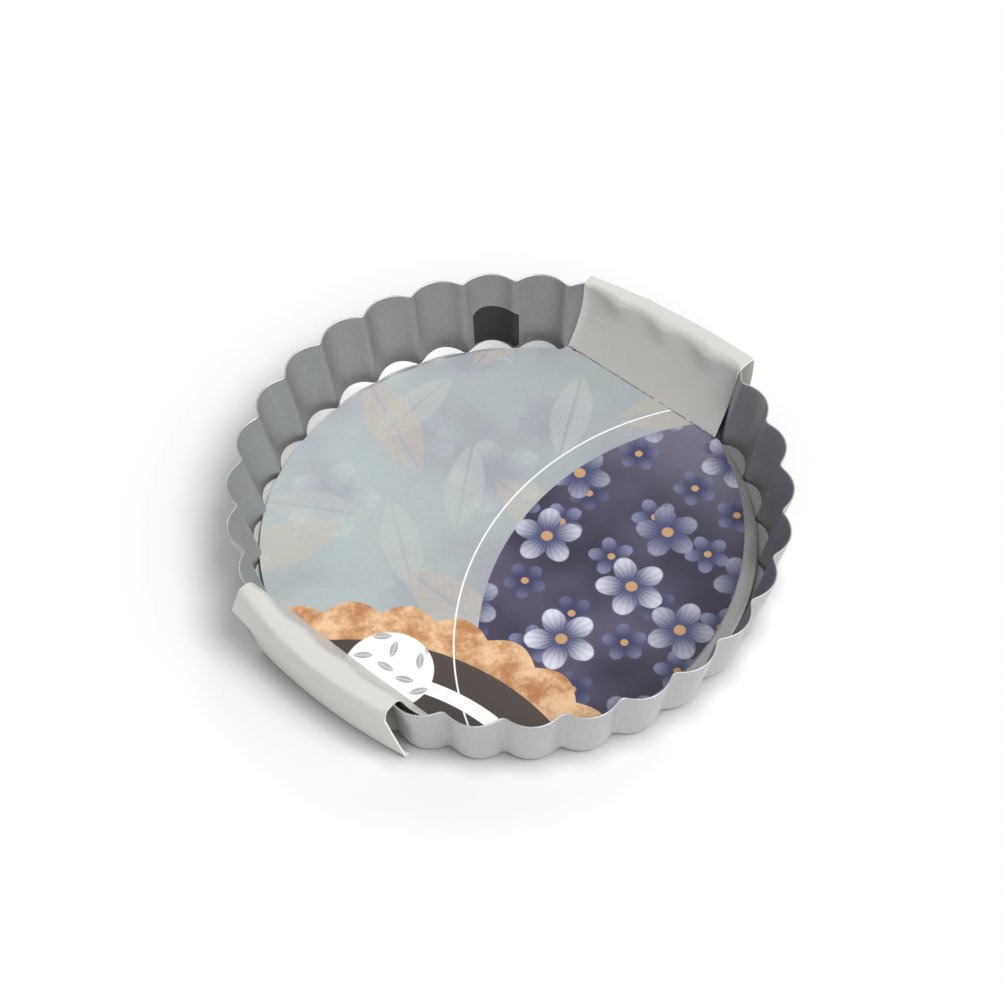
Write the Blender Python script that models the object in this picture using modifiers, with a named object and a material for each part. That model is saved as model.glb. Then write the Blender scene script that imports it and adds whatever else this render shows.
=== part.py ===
"""Fluted mini tart pan with a loose base and a printed card sleeve.

Metres, +Z up. The origin is the centre of the ring on the surface that it
stands on. The sleeve's two straps cross the rim at +Y (back) and -Y (front).
"""
import math

import bmesh
import bpy
from mathutils import Vector

# Fluted ring: outside sizes at the rim and at the foot
RIM_RADIUS = 0.0600
FOOT_RADIUS = 0.0564
RIM_FLUTE_DEPTH = 0.00226
FOOT_FLUTE_DEPTH = 0.0010
RING_HEIGHT = 0.0193
SHEET_GAUGE = 0.0004
FOOT_CORNER_RADIUS = 0.0010
FLUTE_COUNT = 30
FLUTE_STEPS = 10
CORNER_STEPS = 2
FIRST_CUSP_ANGLE = math.radians(8.8)
CUSP_ROUNDING_SHARE = 0.16

# Loose base, which drops inside the wall and rests on the ledge
BASE_SIDE_CLEARANCE = 0.0010
BASE_LEDGE_OVERLAP = 0.0040
BASE_GAUGE = 0.0004
BASE_STEPS = 120

# Card sleeve: one die-cut sheet, folded at its creases
CARD_GAUGE = 0.00035
CARD_MARGIN = 0.0022
CARD_STEPS = 120
STRAP_WIDTH = 0.0420
SLEEVE_SIDE_SHIFT = -0.0020
BACK_CREASE_SETBACK = 0.0002
FRONT_CREASE_SETBACK = 0.0026
RISER_WALL_CLEARANCE = 0.0005
RISER_STEPS = 16
RIM_STRIP_OVERHANG = 0.00075
APRON_LEAN_RELIEF = math.radians(1.5)
APRON_FOOT_CLEARANCE = 0.0004

# Small black label stuck inside one flute, lapping a little past its first cusp
LABEL_FLUTE = 10
LABEL_LAP = 0.0009
LABEL_WIDTH = 0.0106
LABEL_HEIGHT = 0.0094
LABEL_FOOT_HEIGHT = 0.0014
LABEL_GAUGE = 0.0002
LABEL_STEPS = 12

# Running gap between separate pieces
SEAT_GAP = 0.0003

# Sizes and heights that follow from the ones above
BASE_RADIUS = FOOT_RADIUS - FOOT_FLUTE_DEPTH - SHEET_GAUGE - BASE_SIDE_CLEARANCE
LEDGE_HOLE_RADIUS = BASE_RADIUS - BASE_LEDGE_OVERLAP
CARD_DISC_RADIUS = BASE_RADIUS - CARD_MARGIN
BASE_UNDERSIDE = SHEET_GAUGE + SEAT_GAP
CARD_UNDERSIDE = BASE_UNDERSIDE + BASE_GAUGE + SEAT_GAP
CARD_MIDDLE = CARD_UNDERSIDE + CARD_GAUGE / 2

# The strap's outer edge sets how far out its creases can lie inside the round wall
STRAP_EDGE = STRAP_WIDTH / 2 + abs(SLEEVE_SIDE_SHIFT)
CREASE_LIMIT = math.sqrt(BASE_RADIUS ** 2 - STRAP_EDGE ** 2)
BACK_CREASE_REACH = CREASE_LIMIT - BACK_CREASE_SETBACK
FRONT_CREASE_REACH = CREASE_LIMIT - FRONT_CREASE_SETBACK
RIM_CUSP_INSIDE = RIM_RADIUS - RIM_FLUTE_DEPTH - SHEET_GAUGE
FOLD_HEIGHT = RING_HEIGHT + SEAT_GAP + CARD_GAUGE / 2
FOLD_REACH = RIM_RADIUS + RIM_STRIP_OVERHANG
APRON_LEAN = math.atan2(RIM_RADIUS - FOOT_RADIUS, RING_HEIGHT) - APRON_LEAN_RELIEF

PARTS = "mini_tart_pan"
CREASE_SHADING_ANGLE = math.radians(40)


def clear_scene():
    for item in list(bpy.data.objects):
        bpy.data.objects.remove(item, do_unlink=True)


def parts_collection():
    group = bpy.data.collections.new(PARTS)
    bpy.context.scene.collection.children.link(group)
    return group


def make_material(name, colour, roughness, metallic):
    material = bpy.data.materials.new(name)
    material.use_nodes = True
    shader = material.node_tree.nodes["Principled BSDF"]
    shader.inputs["Base Color"].default_value = (*colour, 1.0)
    shader.inputs["Roughness"].default_value = roughness
    shader.inputs["Metallic"].default_value = metallic
    return material


def add_mesh_object(name, mesh, group, material, parent=None):
    item = bpy.data.objects.new(name, mesh)
    item.parent = parent
    mesh.materials.append(material)
    group.objects.link(item)
    return item


def add_pivot(name, group, place, parent=None, turn=(0, 0, 0)):
    """An empty that carries what moves or turns with it."""
    pivot = bpy.data.objects.new(name, None)
    pivot.parent = parent
    pivot.location = place
    pivot.rotation_euler = turn
    group.objects.link(pivot)
    return pivot


def flute_profile(share):
    """0 at the bottom of a cusp and 1 at the top of a lobe, for a share of one flute."""
    swing = abs(2 * (share % 1.0) - 1)
    straight = 1 - CUSP_ROUNDING_SHARE
    if swing <= straight:
        height = 1 - swing ** 2
    else:
        step = (swing - straight) / CUSP_ROUNDING_SHARE
        height = 1 - straight ** 2
        height -= 2 * straight * CUSP_ROUNDING_SHARE * (step - step ** 2 / 2)
    lowest = 1 - straight ** 2 - straight * CUSP_ROUNDING_SHARE
    return (height - lowest) / (1 - lowest)


def wall_radius(angle, height, inset=0.0):
    """Outside radius of the fluted wall, less an inset."""
    rise = height / RING_HEIGHT
    lobe = FOOT_RADIUS + (RIM_RADIUS - FOOT_RADIUS) * rise
    depth = FOOT_FLUTE_DEPTH + (RIM_FLUTE_DEPTH - FOOT_FLUTE_DEPTH) * rise
    share = (angle - FIRST_CUSP_ANGLE) * FLUTE_COUNT / math.tau
    return lobe - depth * (1 - flute_profile(share)) - inset


def ring_row(work, radius_at, height, angles):
    return [
        work.verts.new((radius_at(a) * math.cos(a), radius_at(a) * math.sin(a), height))
        for a in angles
    ]


def join_rows(work, upper, lower, closed):
    count = len(upper) if closed else len(upper) - 1
    for i in range(count):
        j = (i + 1) % len(upper)
        work.faces.new((upper[i], lower[i], lower[j], upper[j]))


def add_sheet(work, name, gauge, group, material):
    """Mesh object from an open surface, thickened inwards with Solidify."""
    mesh = bpy.data.meshes.new(name)
    work.to_mesh(mesh)
    work.free()
    mesh.shade_smooth()
    mesh.set_sharp_from_angle(angle=CREASE_SHADING_ANGLE)
    item = add_mesh_object(name, mesh, group, material)
    solid = item.modifiers.new("gauge", "SOLIDIFY")
    solid.thickness = gauge
    solid.offset = -1.0
    solid.use_even_offset = True
    return item


def build_fluted_ring(group, material):
    """Loft from the fluted rim down the wall, round the foot and in along the ledge."""
    work = bmesh.new()
    columns = FLUTE_COUNT * FLUTE_STEPS
    angles = [FIRST_CUSP_ANGLE + math.tau * i / columns for i in range(columns)]
    rows = [ring_row(work, lambda a: wall_radius(a, RING_HEIGHT), RING_HEIGHT, angles)]
    for i in range(CORNER_STEPS + 1):
        turn = math.pi / 2 * i / CORNER_STEPS
        height = FOOT_CORNER_RADIUS * (1 - math.sin(turn))
        inset = FOOT_CORNER_RADIUS * (1 - math.cos(turn))
        rows.append(ring_row(work, lambda a: wall_radius(a, height, inset), height, angles))
    rows.append(ring_row(work, lambda a: LEDGE_HOLE_RADIUS, 0.0, angles))
    for upper, lower in zip(rows, rows[1:]):
        join_rows(work, upper, lower, closed=True)
    add_sheet(work, "fluted_ring", SHEET_GAUGE, group, material)


def build_removable_base(group, material, pivot):
    """Flat disc that drops onto the ring's ledge."""
    work = bmesh.new()
    bmesh.ops.create_cone(
        work, cap_ends=True, segments=BASE_STEPS, radius1=BASE_RADIUS,
        radius2=BASE_RADIUS, depth=BASE_GAUGE,
    )
    mesh = bpy.data.meshes.new("removable_base")
    work.to_mesh(mesh)
    work.free()
    mesh.shade_smooth()
    mesh.set_sharp_from_angle(angle=CREASE_SHADING_ANGLE)
    base = add_mesh_object("removable_base", mesh, group, material, pivot)
    base.location = (0, 0, BASE_UNDERSIDE + BASE_GAUGE / 2)


def flat_sheet(name, outline, group, material, parent):
    """Card panel cut to an outline, as thick as the card, centred on its parent's plane."""
    sketch = bpy.data.curves.new(name, "CURVE")
    sketch.dimensions = "2D"
    sketch.fill_mode = "BOTH"
    sketch.extrude = CARD_GAUGE / 2
    spline = sketch.splines.new("POLY")
    spline.points.add(len(outline) - 1)
    for point, (x, y) in zip(spline.points, outline):
        point.co = (x, y, 0, 1)
    spline.use_cyclic_u = True
    sketch.materials.append(material)
    sheet = bpy.data.objects.new(name, sketch)
    sheet.parent = parent
    group.objects.link(sheet)
    return sheet


def disc_outline():
    """Circle cut straight at the front and back creases, half a gap short of them."""
    back = BACK_CREASE_REACH - SEAT_GAP / 2
    front = -(FRONT_CREASE_REACH - SEAT_GAP / 2)
    half = STRAP_WIDTH / 2
    neck = math.sqrt(CARD_DISC_RADIUS ** 2 - half ** 2)
    points = []
    start = math.asin(max(front, -neck) / CARD_DISC_RADIUS)
    stop = math.asin(min(back, neck) / CARD_DISC_RADIUS)
    for i in range(CARD_STEPS // 2 + 1):
        angle = start + (stop - start) * i / (CARD_STEPS // 2)
        points.append((CARD_DISC_RADIUS * math.cos(angle), CARD_DISC_RADIUS * math.sin(angle)))
    if back > neck:
        points.append((half, back))
    if front < -neck:
        points.insert(0, (half, front))
    return points + [(-x, y) for x, y in reversed(points)]


def strap_columns():
    half = STRAP_WIDTH / 2
    return [half * (2 * i / RISER_STEPS - 1) for i in range(RISER_STEPS + 1)]


def top_reach(x):
    """How far out a riser's top edge lies at x: it follows the rim's cusps from inside."""
    return math.sqrt(RIM_CUSP_INSIDE ** 2 - x ** 2) - RISER_WALL_CLEARANCE


def add_riser(name, crease_reach, side_shift, group, card, frame):
    """Panel that runs from its straight crease up to a bowed edge inside the rim."""
    work = bmesh.new()
    rows = [[], []]
    for x in strap_columns():
        foot = Vector((x, crease_reach, CARD_MIDDLE))
        top = Vector((x, top_reach(x + side_shift), FOLD_HEIGHT))
        gap = (top - foot).normalized() * SEAT_GAP
        rows[0].append(work.verts.new(top - gap))
        rows[1].append(work.verts.new(foot + gap))
    join_rows(work, rows[0], rows[1], closed=False)
    riser = add_sheet(work, name, CARD_GAUGE, group, card)
    riser.modifiers["gauge"].offset = 0.0
    riser.parent = frame


def strip_outline(inner_fold_reach, side_shift):
    """Strip that lies on the rim, from the riser's bowed edge to the straight outer fold."""
    half = STRAP_WIDTH / 2
    far = FOLD_REACH - inner_fold_reach - SEAT_GAP
    inner_edge = [
        (x, top_reach(x + side_shift) + SEAT_GAP - inner_fold_reach) for x in strap_columns()]
    return inner_edge + [(half, far), (-half, far)]


def apron_outline(length):
    """Panel that runs along +Y from its crease, with a gap at both ends."""
    half = STRAP_WIDTH / 2
    near, far = SEAT_GAP, length - SEAT_GAP
    return [(-half, near), (half, near), (half, far), (-half, far)]


def build_strap(side, crease_reach, facing, group, card, carrier):
    """Riser, rim strip and apron of one strap, each hung on its own crease.

    The strap is built towards +Y in a frame that is turned half round for the
    front one, so facing is 0 or half a turn.
    """
    frame = add_pivot(
        side + "_strap", group, (SLEEVE_SIDE_SHIFT, 0, 0), carrier, (0, 0, facing))

    side_shift = SLEEVE_SIDE_SHIFT * math.cos(facing)
    add_riser(side + "_riser", crease_reach, side_shift, group, card, frame)

    # The strip turns about the line through the outer ends of the bowed edge
    inner_fold_reach = top_reach(STRAP_EDGE)
    inner_fold = add_pivot(side + "_inner_fold", group, (0, inner_fold_reach, FOLD_HEIGHT), frame)
    flat_sheet(
        side + "_rim_strip", strip_outline(inner_fold_reach, side_shift), group, card, inner_fold)

    outer_fold = add_pivot(
        side + "_outer_fold", group, (0, FOLD_REACH - inner_fold_reach, 0), inner_fold,
        (-math.pi / 2 - APRON_LEAN, 0, 0))
    drop = FOLD_HEIGHT - APRON_FOOT_CLEARANCE
    apron_length = drop / math.cos(APRON_LEAN) + SEAT_GAP
    flat_sheet(side + "_apron", apron_outline(apron_length), group, card, outer_fold)


def build_card_disc(group, material, carrier):
    seat = add_pivot("card_plane", group, (SLEEVE_SIDE_SHIFT, 0, CARD_MIDDLE), carrier)
    flat_sheet("card_disc", disc_outline(), group, material, seat)


def build_flute_label(group, material):
    """Thin label that follows the inside of one flute, a gap off the metal."""
    work = bmesh.new()
    start = FIRST_CUSP_ANGLE + math.tau * LABEL_FLUTE / FLUTE_COUNT - LABEL_LAP / RIM_RADIUS
    span = LABEL_WIDTH / RIM_RADIUS
    angles = [start + span * i / LABEL_STEPS for i in range(LABEL_STEPS + 1)]
    inset = SHEET_GAUGE + SEAT_GAP
    rows = [
        ring_row(work, lambda a: wall_radius(a, height, inset), height, angles)
        for height in (LABEL_FOOT_HEIGHT + LABEL_HEIGHT, LABEL_FOOT_HEIGHT)
    ]
    join_rows(work, rows[0], rows[1], closed=False)
    add_sheet(work, "flute_label", LABEL_GAUGE, group, material)


def main():
    clear_scene()
    group = parts_collection()
    coated = make_material("satin_grey_coating", (0.33, 0.33, 0.34), 0.42, 0.85)
    board = make_material("pale_grey_board", (0.60, 0.59, 0.56), 0.60, 0.0)
    printed = make_material("printed_board", (0.41, 0.49, 0.49), 0.40, 0.0)
    black = make_material("black_label_film", (0.03, 0.03, 0.03), 0.45, 0.0)

    build_fluted_ring(group, coated)
    carrier = add_pivot("base_seat", group, (0, 0, 0))
    build_removable_base(group, coated, carrier)
    build_card_disc(group, printed, carrier)
    build_strap("back", BACK_CREASE_REACH, 0.0, group, board, carrier)
    build_strap("front", FRONT_CREASE_REACH, math.pi, group, board, carrier)
    build_flute_label(group, black)


main()
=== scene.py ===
"""Looks of the mini tart pan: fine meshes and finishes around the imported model.

Metres, +Z up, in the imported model's own frame. Tables of places are in
millimetres, because they are read against a ruler.
"""

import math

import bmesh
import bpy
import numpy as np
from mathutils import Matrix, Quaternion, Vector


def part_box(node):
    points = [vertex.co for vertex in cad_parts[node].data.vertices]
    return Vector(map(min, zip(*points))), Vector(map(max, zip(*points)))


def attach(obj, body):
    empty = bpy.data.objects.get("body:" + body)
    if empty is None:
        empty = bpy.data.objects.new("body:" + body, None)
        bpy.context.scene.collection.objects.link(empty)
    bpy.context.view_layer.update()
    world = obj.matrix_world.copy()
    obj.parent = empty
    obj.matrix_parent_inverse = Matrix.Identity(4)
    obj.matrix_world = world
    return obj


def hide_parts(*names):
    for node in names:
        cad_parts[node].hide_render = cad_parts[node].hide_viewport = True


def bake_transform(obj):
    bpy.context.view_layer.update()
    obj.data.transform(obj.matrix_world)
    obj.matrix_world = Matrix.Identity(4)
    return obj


bl_info = {
    "name": "Mini Tart Pan",
    "version": (1, 0, 0),
    "blender": (4, 5, 0),
    "location": "View3D > Sidebar > Tart Pan",
    "description": "Fluted mini tart pan with a loose base and a printed card sleeve",
    "category": "Add Mesh",
}

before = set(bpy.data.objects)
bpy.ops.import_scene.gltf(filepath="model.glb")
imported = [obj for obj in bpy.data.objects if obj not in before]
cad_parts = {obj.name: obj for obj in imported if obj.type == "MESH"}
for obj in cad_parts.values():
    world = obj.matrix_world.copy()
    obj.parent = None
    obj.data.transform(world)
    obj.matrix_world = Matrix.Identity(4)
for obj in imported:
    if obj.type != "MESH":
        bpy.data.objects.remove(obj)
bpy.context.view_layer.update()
RING_LOW, RING_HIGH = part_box("fluted_ring")
BASE_LOW, BASE_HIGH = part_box("removable_base")
DISC_LOW, DISC_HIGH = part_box("card_disc")

MM = 0.001

# Flutes of the ring: 30 arcs that meet in narrow cusps
FLUTES = 30
FIRST_CUSP = math.radians(8.8)
CUSP_ROUNDING = 0.16
COLUMNS = FLUTES * 26
CORNER_ROWS = 7
WALL_ROWS = 16
EDGE_ROWS = 5
SLOPE_ROWS = 7
# Rounding of the raw rim edge, as a share of the gauge
EDGE_SHARE = 0.45

# Edges that are turned by more than these angles stay sharp, in degrees
SHARP_STEEL = 50
SHARP_CARD = 35

# Label in one flute at the back
LABEL_FLUTE = 10
LABEL_LAP = 0.9
LABEL_WIDTH = 11.2
LABEL_HEIGHT = 9.4
LABEL_FOOT = 1.4
LABEL_GAUGE = 0.2
LABEL_GAP = 0.03
# How its top edge sinks to the sides: how much, twice its middle's share, how sharply
LABEL_ARCH = (0.12, 0.95, 5)
LABEL_COLUMNS = 61
LABEL_ROWS = 25

# Loose base: how much smaller than the solid it is, and where it lies
BASE_PLAY = 1.0
BASE_SHIFT = (0.30, 0.20)
BASE_ROWS = (0.3, 0.6, 0.8, 0.9, 0.95, 0.985, 1.0)
BASE_COLUMNS = 240
# Rounding of its edge, as a share of its thickness
BASE_BEVEL = 0.3

# Card disc outline: a circle a little off centre, a little oval and a little
# three-sided, that widens into the roots of the back strap
DISC_RADIUS = 52.16
DISC_SHIFT = (-1.35, -0.28)
DISC_OVAL = 0.83
DISC_OVAL_ANGLE = math.radians(78)
DISC_TRIANGLE = 0.62
DISC_TRIANGLE_ANGLE = math.radians(-24)
BACK_CUT = 49.1
# Local bumps of the outline: angle and width in degrees, rise in mm
OUTLINE_BUMPS = ((115.7, 1.0, 1.8), (142.0, 20.0, -0.5), (70.6, 4.0, 0.8))
DISC_ROWS = [0.05 * i for i in range(1, 20)] + [0.98, 1.0]
DISC_COLUMNS = 720

# How the disc is drawn up at the far left, in metres: height, direction, start and
# length of the rise, its sharpness, and the X and width at which it fades out
LIFT = 0.00055
LIFT_DIRECTION = (-0.43, 0.90)
LIFT_START = 0.026
LIFT_RUN = 0.029
LIFT_POWER = 1.6
LIFT_END = 0.022
LIFT_FADE = 0.044
# Bow towards the back crease, in metres: height, start in Y and length
BOW = 0.00025
BOW_START = -0.010
BOW_RUN = 0.060

# Profile of each strap at its left edge, middle and right edge, as reach from
# the pan's centre and height, in mm. The stages run from the crease at the
# disc, up the inside, over the rim and down the outside to the hem.
STAGES = (
    "crease", "low_riser", "mid_riser", "high_riser", "knee",
    "crest", "fold", "second_crease", "apron", "foot", "hem",
)
STAGE_ROUNDING = (0, 2.0, 2.5, 3.0, 1.2, 1.0, 0.7, 0.5, 4.0, 0.8, 0)
BACK_PROFILES = (
    ((48.9, 2.6), (51.0, 6.8), (53.0, 11.0), (54.3, 16.4), (54.3, 19.4),
     (55.4, 19.72), (56.7, 19.7), (57.0, 17.2), (56.2, 8.0), (54.6, 0.42), (52.4, 0.42)),
    ((49.15, 2.15), (51.1, 6.2), (53.3, 11.2), (55.4, 16.2), (56.5, 19.3),
     (58.4, 19.74), (60.0, 19.7), (60.2, 17.4), (60.0, 8.0), (59.3, 0.42), (57.0, 0.42)),
    ((49.15, 2.1), (51.4, 5.5), (53.7, 9.9), (55.3, 15.2), (56.2, 19.2),
     (58.6, 19.74), (60.35, 19.7), (60.4, 15.2), (60.2, 9.5), (59.5, 0.42), (57.2, 0.42)),
)
BACK_EDGES = (
    (-23.75, 18.0), (-23.5, 18.0), (-23.4, 18.1), (-23.4, 18.4), (-23.45, 18.7),
    (-23.5, 18.9), (-23.5, 19.3), (-23.5, 19.2), (-23.2, 18.9), (-22.9, 18.6), (-22.7, 18.4),
)
FRONT_PROFILES = (
    ((44.8, 1.7), (47.5, 7.4), (50.2, 13.2), (51.8, 17.0), (53.0, 19.2),
     (54.4, 19.66), (55.6, 19.4), (58.6, 15.5), (57.3, 10.6), (55.6, 0.38), (53.6, 0.34)),
    ((45.65, 1.7), (48.5, 6.8), (51.6, 12.4), (54.0, 16.9), (55.1, 19.3),
     (56.6, 19.74), (60.0, 19.6), (60.5, 15.6), (58.8, 8.0), (57.2, 0.38), (56.4, 0.34)),
    ((45.9, 1.7), (48.6, 5.9), (51.5, 12.0), (53.6, 16.8), (54.9, 19.3),
     (56.4, 19.74), (58.5, 19.4), (59.1, 17.0), (57.3, 8.4), (55.6, 0.38), (54.6, 0.34)),
)
FRONT_EDGES = (
    (-25.4, 17.3), (-25.2, 17.3), (-25.0, 17.35), (-24.9, 17.4), (-24.9, 17.4),
    (-25.0, 17.4), (-25.3, 17.4), (-25.0, 17.5), (-21.7, 18.1), (-21.4, 18.9), (-21.4, 18.9),
)
STRAP_COLUMNS = 90
# Gap between card and steel, in mm, and how often the sheet is evened out
STRAP_GAP = 0.04
RELAX_TIMES = (12, 2)
# How far the line of cracks and painted shade reaches from the crease at the disc, in stages
CREASE_SPAN = 0.09

# Where a cusp of the rim presses into a strap from outside, in mm
PRESS_DEPTH = 0.75
PRESS_WIDTH = 2.8
PRESS_HEIGHT = 17.6
PRESS_DROP = 2.3

# Painted highlights along small creases in the back riser: start and end as place along the strap
# and height, in mm
PAINTED_CREASE_HIGHLIGHTS = (((-23.4, 11.0), (-13.0, 12.6)), ((-1.8, 12.2), (1.8, 11.2)))
PAINTED_HIGHLIGHT_WIDTH = 0.10
PAINTED_HIGHLIGHT_FADE = 2.5
# Places in Y between which the painted crease highlights show, in metres
PAINTED_HIGHLIGHT_NEAR = 0.045
PAINTED_HIGHLIGHT_FAR = 0.0560

# The print on the card: circles as centre and radius, in mm
DARK_FIELD = ((58.0, 12.0), 59.0)
WHITE_RULE = ((58.0, 12.0), 64.0)
ROUND_PANEL = ((3.0, -43.0), 9.5)
BANDS = ((26.0, -84.0), 50.0)
RULE_WIDTH = 0.18
PRINT_EDGE = 0.08
# Bands, as distance outside their circle in mm
SCALLOPS = 16.0
SCALLOP_HEIGHT = 2.6
WARM_BAND = 11.0
BROWN_BAND = 4.0
PLAIN_BANDS = (
    (-3.2, (0.86, 0.86, 0.85)), (-6.4, (0.045, 0.035, 0.033)), (-10.5, (0.72, 0.71, 0.69)),
)
PETALS = 5
# Rosettes of the dark field: cells per metre, shift, darkest and palest petal
ROSETTES = (
    (72.0, 1.3, (0.028, 0.030, 0.085), (0.20, 0.21, 0.34)),
    (47.0, 0.0, (0.040, 0.044, 0.125), (0.62, 0.63, 0.71)),
)
HEART_COLOUR = (0.46, 0.27, 0.12)
# Leaves of the teal field: cells per metre, shift, strength and colour
LEAVES = ((34.0, 1.9, 0.45, (0.46, 0.48, 0.45)), (27.0, 6.3, 0.50, (0.49, 0.40, 0.31)))
# Pale of cracked card, also used to paint highlights along small creases
BARE_CARD_AND_PAINTED_HIGHLIGHT = (0.74, 0.73, 0.70)

# Direction of the picture's right side, in degrees from +X
VIEW_TURN = 41.2

# Floor: its grey for the lights and for the camera, and beside a surface that stands
# closer than the reach, in metres
FLOOR_GREY = (0.80, 0.80, 0.80)
FLOOR_SEEN = (0.745, 0.745, 0.745)
FLOOR_CONTACT = (0.21, 0.21, 0.21)
CONTACT_REACH = 0.005
FLOOR_HALF = 3.0
FLOOR_HEIGHT = -0.0002

# Sun lamps: spread, azimuth from the picture's right and elevation, in degrees
KEY_SUN = (28.0, -34.0, 60.0)
REAR_SUN = (14.0, 55.0, 50.0)
# Room light: level at the horizon and its gain to the right, heights at which it turns
# into the ceiling, and direction, width and heights of the fill in front
HORIZON_LEVEL = 0.66
HORIZON_GAIN = 0.36
CEILING_RISE = (0.15, 0.65)
FILL_FRONT = 0.94
FILL_RIGHT = 0.34
FILL_WIDTH = 0.6
FILL_RISE = (0.30, 0.65)

# Camera: the point that it looks at and its distance, in metres, and its direction
CAMERA_TARGET = (-0.00783, 0.00642, 0.0)
CAMERA_TOWARD = (0.3942, -0.4502, 0.8012)
CAMERA_DISTANCE = 0.53296
CAMERA_ROLL = math.radians(-1.32)
CAMERA_SENSOR = 36.0


class Sizes(bpy.types.PropertyGroup):
    """Sizes of the pan and its card sleeve."""

    rim_radius: bpy.props.FloatProperty(
        name="Rim Radius", description="Outside radius over the lobes at the rim",
        default=float(RING_HIGH[0] - RING_LOW[0]) / 2 + 0.00005, unit="LENGTH", subtype="DISTANCE")
    foot_radius: bpy.props.FloatProperty(
        name="Foot Radius", description="Outside radius over the lobes at the foot",
        default=0.0558, unit="LENGTH", subtype="DISTANCE")
    height: bpy.props.FloatProperty(
        name="Height", description="Height of the ring",
        default=float(RING_HIGH[2]), unit="LENGTH", subtype="DISTANCE")
    rim_flute: bpy.props.FloatProperty(
        name="Rim Flute Depth", description="Depth of the flutes at the rim",
        default=0.00226, unit="LENGTH", subtype="DISTANCE")
    foot_flute: bpy.props.FloatProperty(
        name="Foot Flute Depth", description="Depth of the flutes at the foot",
        default=0.00200, unit="LENGTH", subtype="DISTANCE")
    foot_corner: bpy.props.FloatProperty(
        name="Foot Corner Radius", description="Outside radius where the wall turns into the ledge",
        default=0.0012, unit="LENGTH", subtype="DISTANCE")
    slope_start: bpy.props.FloatProperty(
        name="Slope Start", description="Radius where the ledge starts to rise into the lobes",
        default=0.0536, unit="LENGTH", subtype="DISTANCE")
    foot_slope: bpy.props.FloatProperty(
        name="Foot Slope", description="Slope of the lobes' floors up to the wall",
        default=math.radians(25), unit="ROTATION", subtype="ANGLE")
    sheet_gauge: bpy.props.FloatProperty(
        name="Sheet Gauge", description="Thickness of the steel sheet",
        default=0.0004, unit="LENGTH", subtype="DISTANCE")
    ledge_hole: bpy.props.FloatProperty(
        name="Ledge Hole Radius", description="Radius of the hole in the ring's ledge",
        default=0.0500, unit="LENGTH", subtype="DISTANCE")
    card_gauge: bpy.props.FloatProperty(
        name="Card Gauge", description="Thickness of the sleeve's card",
        default=0.00035, unit="LENGTH", subtype="DISTANCE")


class Finishes(bpy.types.PropertyGroup):
    """Colours of the finishes."""

    coating: bpy.props.FloatVectorProperty(
        name="Coating", description="Satin grey coating of the steel",
        default=(0.435, 0.435, 0.437), size=3, subtype="COLOR")
    board: bpy.props.FloatVectorProperty(
        name="Board", description="Pale warm grey of the straps",
        default=(0.540, 0.530, 0.505), size=3, subtype="COLOR")
    core: bpy.props.FloatVectorProperty(
        name="Board Core", description="White core at the card's cut edges",
        default=(0.80, 0.79, 0.74), size=3, subtype="COLOR")
    reverse: bpy.props.FloatVectorProperty(
        name="Board Reverse", description="Uncoated back of the card",
        default=(0.80, 0.77, 0.70), size=3, subtype="COLOR")
    teal: bpy.props.FloatVectorProperty(
        name="Field", description="Teal grey field of the print",
        default=(0.315, 0.350, 0.355), size=3, subtype="COLOR")
    plum: bpy.props.FloatVectorProperty(
        name="Plum", description="Dark ground of the print",
        default=(0.022, 0.018, 0.040), size=3, subtype="COLOR")
    film: bpy.props.FloatVectorProperty(
        name="Label Film", description="Matte black film of the label",
        default=(0.020, 0.020, 0.020), size=3, subtype="COLOR")


class Stage(bpy.types.PropertyGroup):
    """Lights and camera."""

    key: bpy.props.FloatProperty(
        name="Key Light", description="Strength of the soft light at the right", default=2.0)
    rear: bpy.props.FloatProperty(
        name="Rear Light", description="Strength of the small light behind", default=0.35)
    horizon: bpy.props.FloatProperty(
        name="Horizon", description="Brightness of the white surroundings", default=1.0)
    ceiling: bpy.props.FloatProperty(
        name="Ceiling", description="Brightness of the room overhead", default=0.42)
    fill: bpy.props.FloatProperty(
        name="Front Fill", description="Extra brightness high in front", default=1.3)
    lens: bpy.props.FloatProperty(
        name="Lens", description="Focal length of the camera in mm", default=87.18)


class Wire:
    """One output of a shader node. Arithmetic on it adds Math nodes."""

    def __init__(self, graph, item, socket):
        self.graph = graph
        self.item = item
        self.socket = socket

    def out(self, name):
        return Wire(self.graph, self.item, self.item.outputs[name])

    def __add__(self, other):
        return self.graph.maths("ADD", self, other)

    def __sub__(self, other):
        return self.graph.maths("SUBTRACT", self, other)

    def __rsub__(self, other):
        return self.graph.maths("SUBTRACT", other, self)

    def __mul__(self, other):
        return self.graph.maths("MULTIPLY", self, other)

    __radd__ = __add__
    __rmul__ = __mul__


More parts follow.
